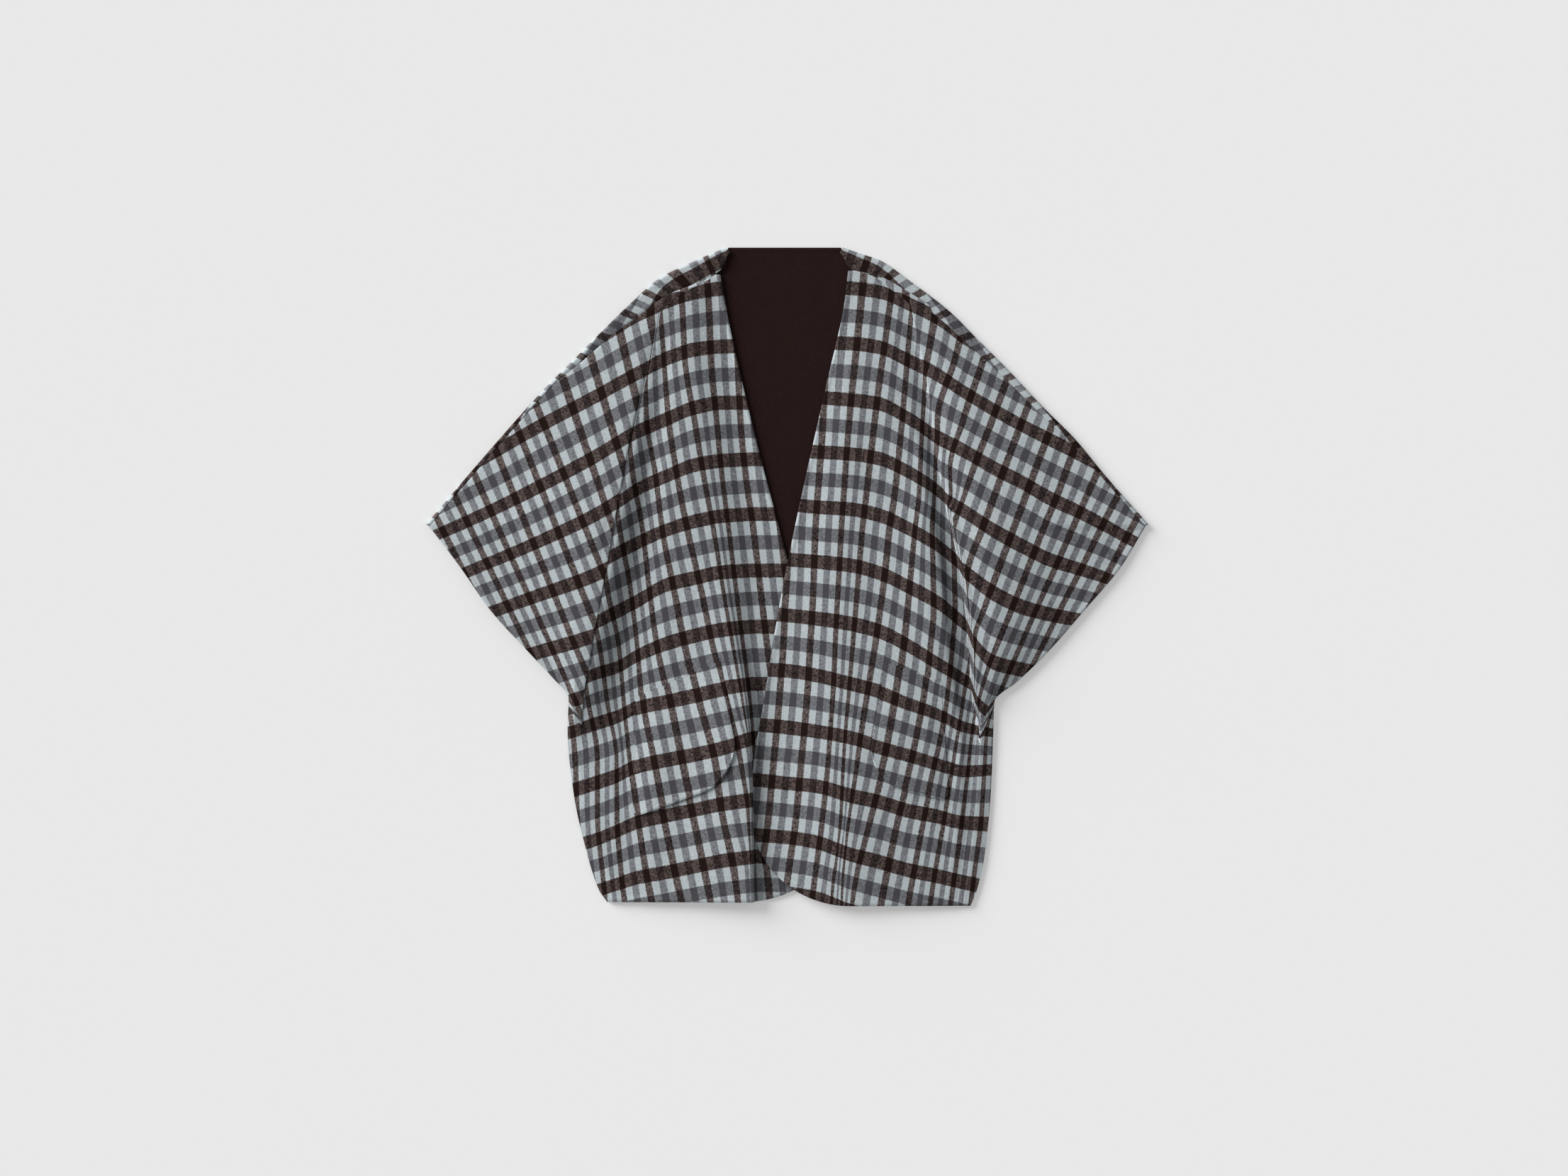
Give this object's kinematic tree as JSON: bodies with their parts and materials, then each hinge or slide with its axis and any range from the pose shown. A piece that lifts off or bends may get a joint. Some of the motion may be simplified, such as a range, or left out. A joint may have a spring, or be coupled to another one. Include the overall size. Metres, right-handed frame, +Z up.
{
  "type": "open-front check cape with patch pockets, laid flat",
  "caption": "Wide-sleeved open-front wool cape in a check, with rounded front corners and patch pockets, laid flat with one front over the other.",
  "frame": {"origin": "middle of the laid-out outline, on the surface that the cape lies on", "axes": "+Y from hem to neck, +X towards the wearer's left cuff, +Z up from the surface"},
  "size_m": [0.9674, 0.8808, 0.024],
  "materials": {
    "check_wool": "brushed double-faced wool twill, woven check of pale blue, slate grey and dark brown",
    "brown_wool_face": "brushed dark brown inner face of the same double-faced wool"
  },
  "bodies": {
    "root": {"back": "brown_wool_face", "shoulder_right": "check_wool", "shoulder_left": "check_wool", "front_right": "check_wool", "front_left": "check_wool", "pocket_right": "check_wool", "pocket_left": "check_wool"}
  },
  "joints": []
}
